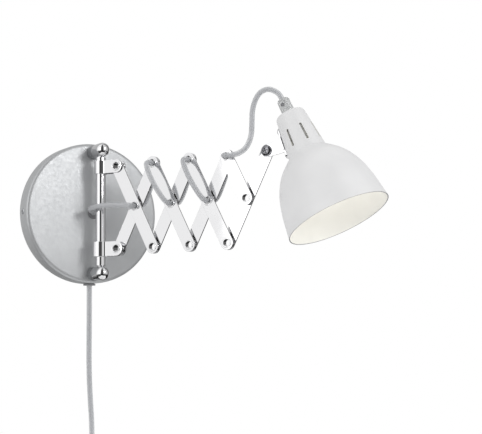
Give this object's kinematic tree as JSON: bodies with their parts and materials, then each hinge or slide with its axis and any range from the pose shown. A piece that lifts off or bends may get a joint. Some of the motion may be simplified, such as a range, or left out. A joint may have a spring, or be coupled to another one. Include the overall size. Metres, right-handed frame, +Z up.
{
  "type": "accordion wall lamp",
  "caption": "Wall lamp on a folding scissor arm that swings from a round wall canopy, with a tilting bell-shaped metal shade and a hanging mains cord with in-line switch.",
  "frame": {"origin": "centre of the canopy's wall face", "axes": "+Z up, +Y into the wall, the room and the arm on the -Y side, +X to the right as seen from the room"},
  "size_m": [0.2447, 0.3103, 0.5355],
  "materials": {
    "canopy_paint": "satin silver-grey lacquer",
    "shade_paint": "satin white lacquer",
    "chrome": "bright plated",
    "satin_steel": "satin",
    "zinc_steel": "zinc plated",
    "dark_steel": "darkened",
    "cord_clear": "clear sheath over silver cores",
    "mains_cord": "clear sheath over silver cores",
    "clear_plastic": "clear, polished",
    "grey_plastic": "moulded",
    "white_plastic": "moulded",
    "opal_glass": "opal",
    "bulb_cap": "rolled thread",
    "contact_brass": "plated"
  },
  "bodies": {
    "base": {"canopy": "canopy_paint", "wall_bracket": "zinc_steel", "canopy_side_screws": "zinc_steel", "posts": "satin_steel", "post_caps": "chrome", "post_bolts": "zinc_steel", "face_grommet": "grey_plastic", "mains_gland": "grey_plastic", "terminal_block": "white_plastic", "inner_screws": "zinc_steel", "cord_clamp": "white_plastic", "inner_leads": "cord_clear", "cord_wall_span": "cord_clear", "mains_drop": "mains_cord", "mains_coil": "mains_cord", "coil_tie": "grey_plastic", "switch_front": "white_plastic", "switch_back": "white_plastic", "plug_body": "white_plastic", "plug_pins": "contact_brass"},
    "rocker": {"switch_rocker": "grey_plastic"},
    "swivel": {"rod": "chrome", "upper_clip": "chrome", "upper_clip_rivet": "chrome"},
    "slider": {"lower_clip": "chrome", "slide_bush": "grey_plastic", "lower_clip_rivet": "chrome"},
    "front_1": {"front_strip_1": "chrome", "front_rivets_1": "chrome"},
    "rear_1": {"rear_strip_1": "chrome", "rear_rivet_1": "chrome", "cord_rear_loop_1": "cord_clear"},
    "front_2": {"front_strip_2": "chrome", "front_rivets_2": "chrome", "cord_front_loop_2": "cord_clear"},
    "rear_2": {"rear_strip_2": "chrome", "rear_rivet_2": "chrome", "cord_rear_loop_2": "cord_clear"},
    "front_3": {"front_strip_3": "chrome", "front_rivets_3": "chrome", "cord_front_loop_3": "cord_clear"},
    "rear_3": {"rear_strip_3": "chrome", "rear_rivet_3": "chrome", "cord_rear_loop_3": "cord_clear"},
    "front_4": {"front_strip_4": "chrome", "front_rivets_4": "chrome"},
    "rear_4": {"rear_strip_4": "chrome", "tilt_screw": "dark_steel", "tilt_nut": "zinc_steel", "cord_head_span": "cord_clear"},
    "head": {"shade": "shade_paint", "tilt_bracket": "chrome", "bracket_rivets": "chrome", "cord_grip": "clear_plastic", "grip_screw": "dark_steel", "nipple": "dark_steel", "lamp_holder": "white_plastic", "holder_contacts": "contact_brass", "bulb_base": "bulb_cap", "bulb_glass": "opal_glass"}
  },
  "joints": [
    {"name": "arm_swing", "type": "hinge", "parent": "base", "child": "swivel", "pos_m": [0, -0.038, 0], "axis": [0, 0, 1], "range_deg": [-105, 44], "deforming": ["cord_wall_span"]},
    {"name": "fold", "type": "hinge", "parent": "swivel", "child": "front_1", "pos_m": [0.01049, -0.05596, 0.0435], "axis": [0.8634, 0.5045, 0], "range_deg": [-35, 13]},
    {"name": "rear_1_turn", "type": "hinge", "parent": "front_1", "child": "rear_1", "pos_m": [0.02091, -0.07379, 0.00298], "axis": [0.8634, 0.5045, 0], "range_deg": [-26, 70]},
    {"name": "slider_turn", "type": "hinge", "parent": "rear_1", "child": "slider", "pos_m": [0.01049, -0.05596, -0.03755], "axis": [0.8634, 0.5045, 0], "range_deg": [-35, 13]},
    {"name": "front_2_turn", "type": "hinge", "parent": "rear_1", "child": "front_2", "pos_m": [0.03133, -0.09161, 0.0435], "axis": [0.8634, 0.5045, 0], "range_deg": [-70, 26]},
    {"name": "rear_2_turn", "type": "hinge", "parent": "front_2", "child": "rear_2", "pos_m": [0.04175, -0.10944, 0.00298], "axis": [0.8634, 0.5045, 0], "range_deg": [-26, 70]},
    {"name": "front_3_turn", "type": "hinge", "parent": "rear_2", "child": "front_3", "pos_m": [0.05216, -0.12727, 0.0435], "axis": [0.8634, 0.5045, 0], "range_deg": [-70, 26]},
    {"name": "rear_3_turn", "type": "hinge", "parent": "front_3", "child": "rear_3", "pos_m": [0.06258, -0.14509, 0.00298], "axis": [0.8634, 0.5045, 0], "range_deg": [-26, 70]},
    {"name": "front_4_turn", "type": "hinge", "parent": "rear_3", "child": "front_4", "pos_m": [0.073, -0.16292, 0.0435], "axis": [0.8634, 0.5045, 0], "range_deg": [-70, 26]},
    {"name": "rear_4_turn", "type": "hinge", "parent": "front_4", "child": "rear_4", "pos_m": [0.08342, -0.18075, 0.00298], "axis": [0.8634, 0.5045, 0], "range_deg": [-26, 70]},
    {"name": "head_tilt", "type": "hinge", "parent": "rear_4", "child": "head", "pos_m": [0.09429, -0.19936, 0.04528], "axis": [0.8634, 0.5045, 0], "range_deg": [-55, 25], "deforming": ["cord_head_span"]},
    {"name": "switch_rock", "type": "hinge", "parent": "base", "child": "rocker", "pos_m": [0.0026, -0.0179, -0.259], "axis": [1, 0, 0], "range_deg": [-10.5, 0]}
  ],
  "couplings": [
    {"joint": "rear_1_turn", "follows": "fold", "ratio": -2},
    {"joint": "slider_turn", "follows": "fold", "ratio": 1},
    {"joint": "front_2_turn", "follows": "fold", "ratio": 2},
    {"joint": "rear_2_turn", "follows": "fold", "ratio": -2},
    {"joint": "front_3_turn", "follows": "fold", "ratio": 2},
    {"joint": "rear_3_turn", "follows": "fold", "ratio": -2},
    {"joint": "front_4_turn", "follows": "fold", "ratio": 2},
    {"joint": "rear_4_turn", "follows": "fold", "ratio": -2}
  ]
}
